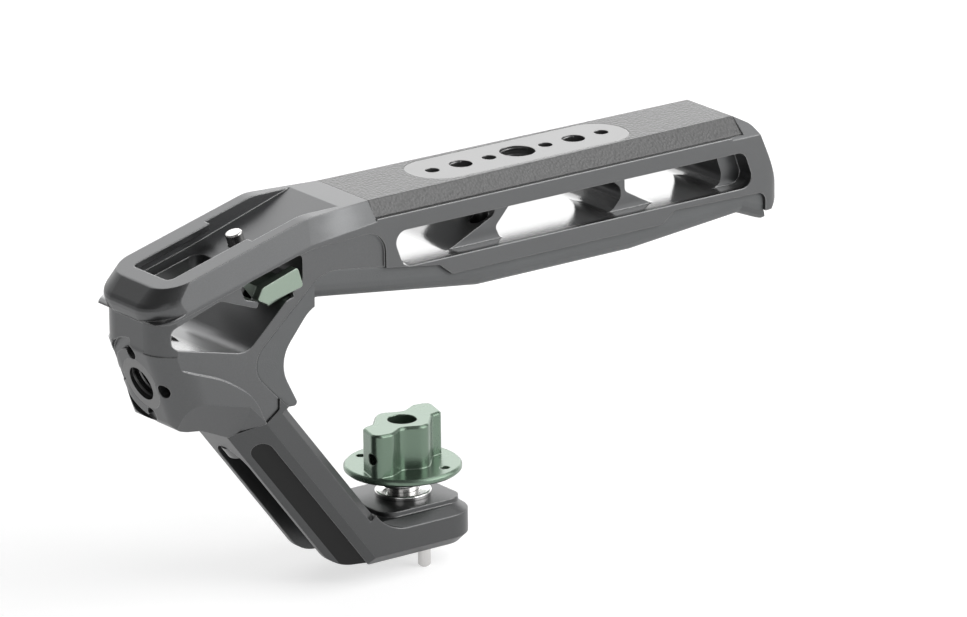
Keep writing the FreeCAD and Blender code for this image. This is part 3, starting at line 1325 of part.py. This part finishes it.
def main():
    parts = {
        "handle_frame": build_handle_frame(),
        "lower_arm": build_lower_arm(),
        "grip_insert": build_grip_insert(),
        "top_pad": build_top_pad(),
        "thread_plate": build_thread_plate(),
        "plate_screws": build_plate_screws(),
        "front_thread_insert": build_front_thread_insert(),
        "lock_pin": build_lock_pin(),
        "lock_pin_foot": build_lock_pin_foot(),
        "lock_pin_spring": build_lock_pin_spring(),
        "lock_pin_bush": build_lock_pin_bush(),
        "release_button": build_release_button(),
        "mounting_screw": build_mounting_screw(),
        "screw_collar": build_screw_collar(),
        "screw_spring": build_screw_spring(),
        "thrust_washer": build_thrust_washer(),
        "mounting_knob": build_mounting_knob(),
        "knob_set_screw": build_knob_set_screw(),
        "locating_pins": build_locating_pins(),
        "arm_screw": build_arm_screw(),
        "arm_dowels": build_arm_dowels(),
    }
    os.makedirs("parts", exist_ok=True)
    for name, shape in parts.items():
        print(name, shape.isValid(), len(shape.Solids), round(shape.Volume, 1), shape.BoundBox)
        shape.exportStep("parts/" + name + ".step")


main()
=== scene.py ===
import json
import math

import bpy
from mathutils import Matrix, Vector


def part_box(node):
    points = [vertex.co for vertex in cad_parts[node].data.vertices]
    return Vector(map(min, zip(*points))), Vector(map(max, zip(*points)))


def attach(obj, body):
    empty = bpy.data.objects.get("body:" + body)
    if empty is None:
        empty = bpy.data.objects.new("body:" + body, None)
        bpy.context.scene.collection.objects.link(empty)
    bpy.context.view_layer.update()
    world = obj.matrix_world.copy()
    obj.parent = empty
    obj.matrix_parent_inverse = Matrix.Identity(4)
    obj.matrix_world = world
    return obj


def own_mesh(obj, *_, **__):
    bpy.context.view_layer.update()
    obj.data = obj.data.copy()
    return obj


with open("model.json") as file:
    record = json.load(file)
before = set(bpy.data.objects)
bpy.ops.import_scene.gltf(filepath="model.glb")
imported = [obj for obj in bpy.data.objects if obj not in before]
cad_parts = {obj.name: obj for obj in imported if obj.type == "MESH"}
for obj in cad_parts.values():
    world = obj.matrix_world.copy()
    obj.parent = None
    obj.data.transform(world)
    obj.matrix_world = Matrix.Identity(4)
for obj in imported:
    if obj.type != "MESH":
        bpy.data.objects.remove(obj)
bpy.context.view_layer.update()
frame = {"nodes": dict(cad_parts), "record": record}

NODES = frame["nodes"]
RECORD = frame["record"]
MM = 0.001
UPRIGHT = Vector((0, 0, 1))


# Shader maths

class Signal:
    """A shader socket that can be added, multiplied and so on in plain expressions."""

    def __init__(self, shading, socket):
        self.shading = shading
        self.socket = socket

    def maths(self, operation, left, right, clamp=False):
        return self.shading.maths(operation, left, right, clamp)

    def __add__(self, other):
        return self.maths("ADD", self, other)

    def __radd__(self, other):
        return self.maths("ADD", other, self)

    def __sub__(self, other):
        return self.maths("SUBTRACT", self, other)

    def __rsub__(self, other):
        return self.maths("SUBTRACT", other, self)

    def __mul__(self, other):
        return self.maths("MULTIPLY", self, other)

    def __rmul__(self, other):
        return self.maths("MULTIPLY", other, self)

    def __truediv__(self, other):
        return self.maths("DIVIDE", self, other)

    def __pow__(self, other):
        return self.maths("POWER", self, other)

    def limited(self):
        return self.maths("ADD", self, 0.0, clamp=True)

    def above(self, edge, softness):
        """0 below the edge and 1 above it, over the given softness."""
        return self.maths("DIVIDE", self - edge, softness, clamp=True)


MIX_FACTOR, MIX_LOW, MIX_HIGH, MIX_COLOUR = 0, 6, 7, 2


class Shading:
    """A shader tree that nodes and expressions are added to."""

    def __init__(self, tree):
        self.tree = tree
        self.place = self.node("ShaderNodeTexCoord").outputs["Object"]

    def node(self, kind, settings=None, inputs=None):
        """A new node: its settings come first, then the values or links of its sockets."""
        made = self.tree.nodes.new(kind)
        for key, value in (settings or {}).items():
            setattr(made, key, value)
        for key, value in (inputs or {}).items():
            self.feed(made.inputs[key], value)
        return made

    def feed(self, socket, value):
        if isinstance(value, Signal):
            value = value.socket
        if isinstance(value, bpy.types.NodeSocket):
            self.tree.links.new(value, socket)
        else:
            socket.default_value = value

    def split(self, vector):
        """The three numbers of a vector."""
        parts = self.node("ShaderNodeSeparateXYZ", None, {0: vector})
        return [Signal(self, socket) for socket in parts.outputs]

    def ray(self, kind):
        """1 for rays of this kind, such as Camera or Glossy."""
        return Signal(self, self.node("ShaderNodeLightPath").outputs[f"Is {kind} Ray"])

    def maths(self, operation, left, right, clamp=False):
        settings = {"operation": operation, "use_clamp": clamp}
        return Signal(self, self.node("ShaderNodeMath", settings, {0: left, 1: right}).outputs[0])

    def noise(self, size, detail=2.0, stretch=None):
        """A cloud whose features are about this many millimetres across."""
        place = self.place
        if stretch:
            place = self.node("ShaderNodeMapping", None, {"Vector": place, "Scale": stretch}).outputs[0]
        inputs = {"Vector": place, "Scale": 1 / (size * MM), "Detail": detail}
        return Signal(self, self.node("ShaderNodeTexNoise", None, inputs).outputs["Fac"])

    def pebbles(self, size):
        """Rounded cells about this many millimetres across, 0 at their middles."""
        inputs = {"Vector": self.place, "Scale": 1 / (size * MM), "Smoothness": 0.6, "Randomness": 1.0}
        made = self.node("ShaderNodeTexVoronoi", {"feature": "SMOOTH_F1"}, inputs)
        return Signal(self, made.outputs["Distance"])

    def blend(self, mask, low, high):
        """A colour that goes from low to high as the mask goes from 0 to 1."""
        inputs = {MIX_FACTOR: mask, MIX_LOW: low, MIX_HIGH: high}
        return self.node("ShaderNodeMix", {"data_type": "RGBA"}, inputs).outputs[MIX_COLOUR]


class Finish(Shading):
    """One material and its Principled shader."""

    def __init__(self, name):
        self.material = bpy.data.materials.new(name)
        self.material.use_nodes = True
        super().__init__(self.material.node_tree)
        self.shader = self.tree.nodes["Principled BSDF"]

    def set(self, **values):
        for key, value in values.items():
            self.feed(self.shader.inputs[key.replace("_", " ")], value)

    def rounded(self, radius):
        """The normal of the surface with its edges eased by this many millimetres."""
        return self.node("ShaderNodeBevel", {"samples": 6}, {"Radius": radius * MM}).outputs["Normal"]

    def flatness(self, normal):
        """1 where an eased normal is the surface's own, less on an eased edge."""
        plain = self.node("ShaderNodeNewGeometry").outputs["Normal"]
        dot = self.node("ShaderNodeVectorMath", {"operation": "DOT_PRODUCT"}, {0: normal, 1: plain})
        return Signal(self, dot.outputs["Value"])

    def facing(self, direction):
        """1 on flats that face this way, or its mirror image across the object's middle."""
        x, y, z = self.split(self.node("ShaderNodeNewGeometry").outputs["True Normal"])
        side = self.maths("ABSOLUTE", y, 0.0)
        agreement = x * direction[0] + side * direction[1] + z * direction[2]
        return agreement.above(0.985, 0.01)

    def milled(self, start, end, fade, low, high, half):
        """1 on the upward floor inside a box, in millimetres, fading out past its end."""
        x, y, z = self.split(self.place)
        up = self.split(self.node("ShaderNodeNewGeometry").outputs["Normal"])[2]
        along = x.above(start * MM, MM) * (1 - x.above(end * MM, fade * MM))
        across = (y + half * MM).above(0, MM) * (1 - y.above(half * MM, MM))
        height = z.above(low * MM, MM) * (1 - z.above(high * MM, MM))
        return along * across * height * up.above(0.45, 0.3)

    def relief(self, height, depth, normal):
        """Feeds the shader's normal with bumps of this many millimetres."""
        inputs = {"Height": height, "Distance": depth * MM, "Strength": 1.0, "Normal": normal}
        self.feed(self.shader.inputs["Normal"], self.node("ShaderNodeBump", None, inputs).outputs["Normal"])


def grey(value, warm=0.0):
    return (value * (1 + warm), value, value * (1 - warm), 1.0)


def shade(colour, factor):
    """The same colour, darker or lighter."""
    return tuple(part * factor for part in colour[:3]) + (1.0,)


def swing(signal):
    """A cloud from 0 to 1 as a swing either side of 0."""
    return signal - 0.5


def anodised(name, colour, worn_and_lit, rough, metal=0.85, ease=0.45, speckle=0.12, pockets=(), shaded_groove=None):
    """Bead-blasted and anodised aluminium, lighter along its edges as rubbed wear and painted highlight, with
    optional painted shade on a groove's floor.
    """
    made = Finish(name)
    normal = made.rounded(ease)
    cloud = made.noise(CLOUD_SIZE, 3.0)
    grain = made.noise(BLAST_SIZE, 2.0)
    edge = (EDGE_LIMIT - made.flatness(normal)) * 5.0
    # Painted highlight: edges are lightened partly as rubbed wear and partly to stand in for the highlights
    # they catch.
    wear_and_highlight = (edge.limited() * (0.6 + 0.8 * made.noise(WEAR_AND_HIGHLIGHT_SIZE))).limited()
    tone = 0.5 + 0.15 * swing(cloud) + 2.5 * speckle * swing(grain)
    body = made.blend(tone.limited(), shade(colour, 0.6), shade(colour, 1.4))
    body = made.blend(wear_and_highlight * 0.6, body, worn_and_lit)
    roughness = rough + 0.07 * swing(cloud) + 0.5 * speckle * swing(grain) - 0.08 * wear_and_highlight
    for pocket in pockets:
        milled = made.milled(**pocket)
        body = made.blend(milled, body, POCKET_COLOUR)
        roughness = roughness + milled * (POCKET_ROUGHNESS - roughness)
    # Painted shade: flats facing the groove's way are coloured near black to stand in for the shade inside
    # the groove.
    if shaded_groove:
        body = made.blend(made.facing(shaded_groove), body, GROOVE_PAINTED_SHADE)
    made.set(Base_Color=body, Metallic=metal, Roughness=roughness)
    made.relief(grain, 0.07 * speckle, normal)
    return made.material


def moulded_rubber(name, colour, rough):
    """Matt moulded rubber with a faint tooth and a few lighter scuffs."""
    made = Finish(name)
    normal = made.rounded(0.6)
    tooth = made.noise(0.35, 4.0)
    cloud = made.noise(14.0, 3.0)
    scuff = made.noise(5.0, 5.0, stretch=(0.3, 1.0, 1.6)).above(0.62, 0.16)
    tone = 0.5 + 0.8 * swing(cloud)
    body = made.blend(tone.limited(), shade(colour, 0.9), shade(colour, 1.1))
    body = made.blend(scuff * 0.12, body, grey(0.2))
    made.set(Base_Color=body, Roughness=rough + 0.12 * swing(tooth) - 0.05 * scuff, Specular_IOR_Level=0.45)
    made.relief(tooth + 0.4 * cloud, 0.05, normal)
    return made.material


def pebbled_pad(name, colour):
    """The grip's top pad: a skin of fine rounded pebbles."""
    made = Finish(name)
    normal = made.rounded(0.5)
    height = 1 - made.pebbles(0.62)
    fine = made.noise(0.2, 2.0)
    # Painted shade: the colour is darker in the hollows between the pebbles.
    body = made.blend((height * 1.2).limited(), shade(colour, 0.72), colour)
    made.set(Base_Color=body, Roughness=0.52 - 0.12 * height + 0.1 * swing(fine))
    made.set(Specular_IOR_Level=0.8, Sheen_Weight=0.6, Sheen_Roughness=0.35)
    made.relief(height + 0.25 * fine, 0.10, normal)
    return made.material


def turned_steel(name, colour, rough, ease=0.2):
    """Bright turned steel with fine rings about an upright axis."""
    made = Finish(name)
    normal = made.rounded(ease)
    inputs = {"Vector": made.place, "Scale": 900.0, "Distortion": 0.6, "Detail": 2.0}
    rings = made.node("ShaderNodeTexWave", {"wave_type": "RINGS", "rings_direction": "Z"}, inputs)
    line = Signal(made, rings.outputs["Fac"])
    stain = made.noise(2.6, 3.0)
    made.set(Base_Color=made.blend(stain * 0.4, colour, shade(colour, 0.7)), Metallic=1.0)
    made.set(Roughness=rough + 0.08 * swing(line) + 0.1 * swing(stain))
    made.relief(line, 0.006, normal)
    return made.material


def dark_steel(name, colour, rough):
    """Blackened steel with a slight oil sheen."""
    made = Finish(name)
    normal = made.rounded(0.15)
    cloud = made.noise(1.6, 4.0)
    made.set(Base_Color=made.blend(cloud, colour, shade(colour, 1.5)), Metallic=0.9)
    made.set(Roughness=rough + 0.16 * swing(cloud))
    made.relief(cloud, 0.01, normal)
    return made.material


CLOUD_SIZE = 26.0
BLAST_SIZE = 0.3
WEAR_AND_HIGHLIGHT_SIZE = 3.0
EDGE_LIMIT = 0.97
POCKET_COLOUR = grey(0.38)
POCKET_ROUGHNESS = 0.12
GRIP_POCKETS = {"start": -16.0, "end": 92.0, "fade": 1.0, "low": 66.0, "high": 78.0, "half": 12.5}
HEAD_POCKET = {"start": -74.0, "end": -67.0, "fade": 7.0, "low": 54.0, "high": 70.0, "half": 12.5}
POCKETS = (GRIP_POCKETS, HEAD_POCKET)
# Painted shade for the floor of the arm's groove, and the way that floor faces.
GROOVE_PAINTED_SHADE = grey(0.025)
GROOVE_FACING = (-0.273, 0.939, -0.209)
BODY_GREY = grey(0.115, -0.015)
ARM_GREY = grey(0.085, -0.015)
PLATE_GREY = grey(0.20)
GRIP_GREY = (0.108, 0.112, 0.114, 1.0)
KNOB_GREEN = (0.155, 0.215, 0.165, 1.0)
# The knob's and the button's lighter edge colours are partly rubbed wear and partly painted highlight.
KNOB_RUBBED_AND_LIT = (0.42, 0.5, 0.42, 1.0)
BUTTON_GREEN = (0.26, 0.32, 0.265, 1.0)
BUTTON_RUBBED_AND_LIT = (0.55, 0.62, 0.55, 1.0)

# Each anodised finish's second colour is its edge colour: partly rubbed wear, partly painted highlight.
FINISHES = {
    "body_metal": anodised("grey_anodised_body", BODY_GREY, grey(0.40), 0.34, pockets=POCKETS),
    "arm_metal": anodised("grey_anodised_arm", ARM_GREY, grey(0.34), 0.36, shaded_groove=GROOVE_FACING),
    "plate_metal": anodised("grey_anodised_plate", PLATE_GREY, grey(0.46), 0.33, ease=0.3, speckle=0.04),
    "pad_rubber": pebbled_pad("pebbled_pad", grey(0.055)),
    "grip_rubber": moulded_rubber("moulded_grip", GRIP_GREY, 0.52),
    "green_anodised": anodised("green_anodised_knob", KNOB_GREEN, KNOB_RUBBED_AND_LIT, 0.27, ease=0.5, speckle=0.02),
    "button_green": anodised("pale_green_button", BUTTON_GREEN, BUTTON_RUBBED_AND_LIT, 0.34, ease=0.35, speckle=0.05),
    "steel": turned_steel("turned_steel", grey(0.62, 0.015), 0.22),
    "dark_steel": dark_steel("blackened_steel", grey(0.12), 0.32),
    "chrome": turned_steel("bright_chrome", grey(0.74, 0.01), 0.10, ease=0.3),
    "spring_steel": turned_steel("drawn_wire", grey(0.5), 0.22, ease=0.05),
}


def dress_cad_nodes():
    slots = {part["node"]: part["material_slot"] for part in RECORD["subparts"]}
    for name, node in NODES.items():
        node.data.materials.clear()
        node.data.materials.append(FINISHES[slots[name]])


def link(obj):
    bpy.context.scene.collection.objects.link(obj)
    return obj


# Threads, by geometry nodes

STEPS_A_TURN = 40
RIDGE_SIDES = 4
LARGE_PITCH, LARGE_RIDGE = 1.5875, 0.42
SMALL_PITCH, SMALL_RIDGE = 1.27, 0.32
TOP_RIDGE_SPREAD = 0.4
TOP_RIDGE_ENDS = 2.2
FRONT_RIDGE_OUT = 0.17
FRONT_RIDGE_REACH = 2.6
FRONT_RIDGE_SHORT = 1.0


def thread_tree():
    """A helical ridge: radius, pitch, length and depth are its named inputs."""
    tree = bpy.data.node_groups.new("helical_thread", "GeometryNodeTree")
    face = tree.interface
    face.new_socket("Geometry", in_out="INPUT", socket_type="NodeSocketGeometry")
    for name in ("Radius", "Pitch", "Length", "Depth"):
        face.new_socket(name, in_out="INPUT", socket_type="NodeSocketFloat")
    face.new_socket("Finish", in_out="INPUT", socket_type="NodeSocketMaterial")
    face.new_socket("Geometry", in_out="OUTPUT", socket_type="NodeSocketGeometry")
    made = tree.nodes
    start = made.new("NodeGroupInput")
    end = made.new("NodeGroupOutput")
    turns = made.new("ShaderNodeMath")
    turns.operation = "DIVIDE"
    spiral = made.new("GeometryNodeCurveSpiral")
    spiral.inputs["Resolution"].default_value = STEPS_A_TURN
    profile = made.new("GeometryNodeCurvePrimitiveCircle")
    profile.inputs["Resolution"].default_value = RIDGE_SIDES
    sweep = made.new("GeometryNodeCurveToMesh")
    sweep.inputs["Fill Caps"].default_value = True
    real = made.new("GeometryNodeRealizeInstances")
    paint = made.new("GeometryNodeSetMaterial")
    wire = tree.links.new
    wire(start.outputs["Length"], turns.inputs[0])
    wire(start.outputs["Pitch"], turns.inputs[1])
    wire(turns.outputs[0], spiral.inputs["Rotations"])
    wire(start.outputs["Radius"], spiral.inputs["Start Radius"])
    wire(start.outputs["Radius"], spiral.inputs["End Radius"])
    wire(start.outputs["Length"], spiral.inputs["Height"])
    wire(start.outputs["Depth"], profile.inputs["Radius"])
    wire(spiral.outputs["Curve"], sweep.inputs["Curve"])
    wire(profile.outputs["Curve"], sweep.inputs["Profile Curve"])
    wire(sweep.outputs["Mesh"], real.inputs["Geometry"])
    wire(real.outputs["Geometry"], paint.inputs["Geometry"])
    wire(start.outputs["Finish"], paint.inputs["Material"])
    wire(paint.outputs["Geometry"], end.inputs["Geometry"])
    return tree


THREAD = thread_tree()


def run_tree(name, tree, values):
    """The plain mesh that a geometry-node tree makes from these named inputs."""
    carrier = link(bpy.data.objects.new(name + "_carrier", bpy.data.meshes.new(name)))
    modifier = carrier.modifiers.new("build", "NODES")
    modifier.node_group = tree
    for item in tree.interface.items_tree:
        if item.item_type == "SOCKET" and item.in_out == "INPUT" and item.name in values:
            modifier[item.identifier] = values[item.name]
    graph = bpy.context.evaluated_depsgraph_get()
    mesh = bpy.data.meshes.new_from_object(carrier.evaluated_get(graph))
    bpy.data.objects.remove(carrier)
    return mesh


def thread(name, radius, pitch, length, depth, base, axis, slot):
    """A tapped hole's ridge in the handle, from its base along its axis, in millimetres."""
    mesh = run_tree(name, THREAD, {"Radius": radius * MM, "Pitch": pitch * MM, "Length": length * MM,
                                   "Depth": depth * MM, "Finish": FINISHES[slot]})
    turn = UPRIGHT.rotation_difference(axis).to_matrix().to_4x4()
    mesh.transform(Matrix.Translation(base * MM) @ turn)
    for polygon in mesh.polygons:
        polygon.use_smooth = False
    piece = link(bpy.data.objects.new(name, mesh))
    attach(piece, "handle")


def named(entries, name):
    return next(entry for entry in entries if entry["name"] == name)


def mount(name):
    """A mount's place in millimetres, its axis and its sizes."""
    entry = named(RECORD["mounts"], name)
    return Vector(entry["pos_m"]) / MM, Vector(entry["axis"]), entry["dims"]


def top_thread(name, pitch, ridge):
    """The ridge of one tapped hole through the thread plate."""
    low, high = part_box("thread_plate")
    place, axis, dims = mount(name)
    base = Vector((place.x, place.y, low.z / MM + ridge))
    length = (high.z - low.z) / MM - TOP_RIDGE_ENDS * ridge
    radius = dims["r_mm"] + ridge * TOP_RIDGE_SPREAD
    thread(name + "_ridge", radius, pitch, length, ridge, base, axis, "plate_metal")


def front_thread():
    """The ridge of the tapped bush in the front boss."""
    place, axis, dims = mount("front_thread")
    base = place - axis * (dims["length_mm"] - FRONT_RIDGE_REACH)
    length = dims["length_mm"] - FRONT_RIDGE_SHORT
    radius = dims["r_mm"] + FRONT_RIDGE_OUT
    thread("front_thread_ridge", radius, LARGE_PITCH, length, LARGE_RIDGE, base, axis, "dark_steel")


def tapped_holes():
    top_thread("top_large_thread", LARGE_PITCH, LARGE_RIDGE)
    top_thread("top_small_thread_front", SMALL_PITCH, SMALL_RIDGE)
    top_thread("top_small_thread_rear", SMALL_PITCH, SMALL_RIDGE)
    front_thread()


# Springs

def spring_shortens(name, joint):
    """Gives a coil its own mesh; its seat and the share of its length to keep over the joint's travel are
    worked out but not used, so it does not shorten.
    """
    entry = named(RECORD["behaviour"]["joints"], joint)
    axis = Vector(entry["axis"]).normalized()
    travel = entry["range_m"][1]
    points = sorted((vertex.co.copy() for vertex in NODES[name].data.vertices), key=axis.dot)
    free, seat = points[0], points[-1]
    length = (seat - free).dot(axis)
    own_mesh(NODES[name], joint, axis=tuple(axis), anchor=tuple(seat), keep=1 - travel / length)


# Studio

PAPER_GREY = grey(0.55)
PAPER_GLOW = 0.62
PAPER_REACH = 3.0
NEAR_PAPER, FAR_PAPER = 0.5, 0.8
FAR_SHINE = 0.3
FILL = 0.26
OVERHEAD_SHINE = 0.16
BACKDROP_SHINE = 1.15
BACKDROP_WAY = (0.58, 0.81)


def floor():
    """White paper under the pins' tips, which polished metal sees dimmer further off."""
    made = Finish("white_floor")
    x, y, z = made.split(made.place)
    near = 1 - ((x * x + y * y) ** 0.5).above(NEAR_PAPER, FAR_PAPER)
    shine = made.ray("Glossy") * (FAR_SHINE + (1 - FAR_SHINE) * near)
    seen = (made.ray("Camera") + made.ray("Transmission") + shine).limited()
    made.set(Base_Color=PAPER_GREY, Roughness=0.9 + 0.05 * swing(made.noise(4.0)), Specular_IOR_Level=0.1)
    made.set(Emission_Color=made.blend(seen, grey(0.0), grey(1.0)), Emission_Strength=PAPER_GLOW)
    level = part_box("locating_pins")[0].z
    corners = [(-1, -1), (1, -1), (1, 1), (-1, 1)]
    mesh = bpy.data.meshes.new("floor")
    mesh.from_pydata([(x * PAPER_REACH, y * PAPER_REACH, level) for x, y in corners], [], [(0, 1, 2, 3)])
    mesh.materials.append(made.material)
    link(bpy.data.objects.new("floor", mesh))


def sky():
    """A white backdrop behind the object that darkens overhead and at the sides."""
    world = bpy.data.worlds.new("studio_air")
    bpy.context.scene.world = world
    world.use_nodes = True
    air = Shading(world.node_tree)
    x, y, z = air.split(air.place)
    ahead = BACKDROP_WAY[0] * x + BACKDROP_WAY[1] * y
    backdrop = ahead.above(0.3, 0.4) * (1 - z.above(0.5, 0.3))
    polished = OVERHEAD_SHINE + (BACKDROP_SHINE - OVERHEAD_SHINE) * backdrop
    seen = (air.ray("Camera") + air.ray("Transmission")).limited()
    strength = FILL + (1 - FILL) * seen + (polished - FILL) * air.ray("Glossy")
    ground = air.tree.nodes["Background"]
    air.feed(ground.inputs["Strength"], strength)
    air.feed(ground.inputs["Color"], grey(1.0))


def lamp(name, place, size, power):
    """A softbox that faces the object's middle; place and size are in millimetres."""
    data = bpy.data.lights.new(name, "AREA")
    data.energy = power
    data.shape = "RECTANGLE"
    data.size, data.size_y = (side * MM for side in size)
    obj = link(bpy.data.objects.new(name, data))
    obj.location = Vector(place) * MM
    obj.rotation_mode = "QUATERNION"
    obj.rotation_quaternion = (Vector(MIDDLE) - Vector(place)).to_track_quat("-Z", "Y")


def lamps():
    lamp("key_softbox", (710, -625, 795), (1400, 1200), 12.5)
    lamp("backdrop_softbox", (815, 1122, 840), (2200, 1500), 12.5)
    lamp("side_softbox", (600, -810, 330), (900, 700), 4.0)
    lamp("front_softbox", (-1100, -900, 500), (700, 500), 1.0)


MIDDLE = (12, 0, 50)
CAMERA_PLACE = (-1138.7, -1596.8, 686.4)
CAMERA_AZIMUTH = 36.05
CAMERA_HEIGHT = 17.85
CAMERA_ROLL = -0.74
FOCAL_PIXELS = 9000
IMAGE_WIDTH = 967
SENSOR_WIDTH = 36.0


def photographer():
    angles = (CAMERA_AZIMUTH, CAMERA_HEIGHT, CAMERA_ROLL)
    azimuth, height, roll = (math.radians(angle) for angle in angles)
    level = math.cos(height)
    back = Vector((-math.sin(azimuth) * level, -math.cos(azimuth) * level, math.sin(height)))
    right = (-back).cross(UPRIGHT).normalized()
    up = right.cross(-back)
    turned_right = right * math.cos(roll) + up * math.sin(roll)
    turned_up = up * math.cos(roll) - right * math.sin(roll)
    turn = Matrix((turned_right, turned_up, back)).transposed().to_4x4()
    data = bpy.data.cameras.new("photographer")
    data.sensor_width = SENSOR_WIDTH
    data.lens = SENSOR_WIDTH * FOCAL_PIXELS / IMAGE_WIDTH
    data.clip_start, data.clip_end = 0.1, 20.0
    camera = link(bpy.data.objects.new("photographer", data))
    camera.matrix_world = Matrix.Translation(Vector(CAMERA_PLACE) * MM) @ turn
    bpy.context.scene.camera = camera


photographer()
dress_cad_nodes()
tapped_holes()
spring_shortens("screw_spring", "screw_drop")
spring_shortens("lock_pin_spring", "pin_drop")
floor()
sky()
lamps()
bpy.context.scene.view_settings.view_transform = "Standard"
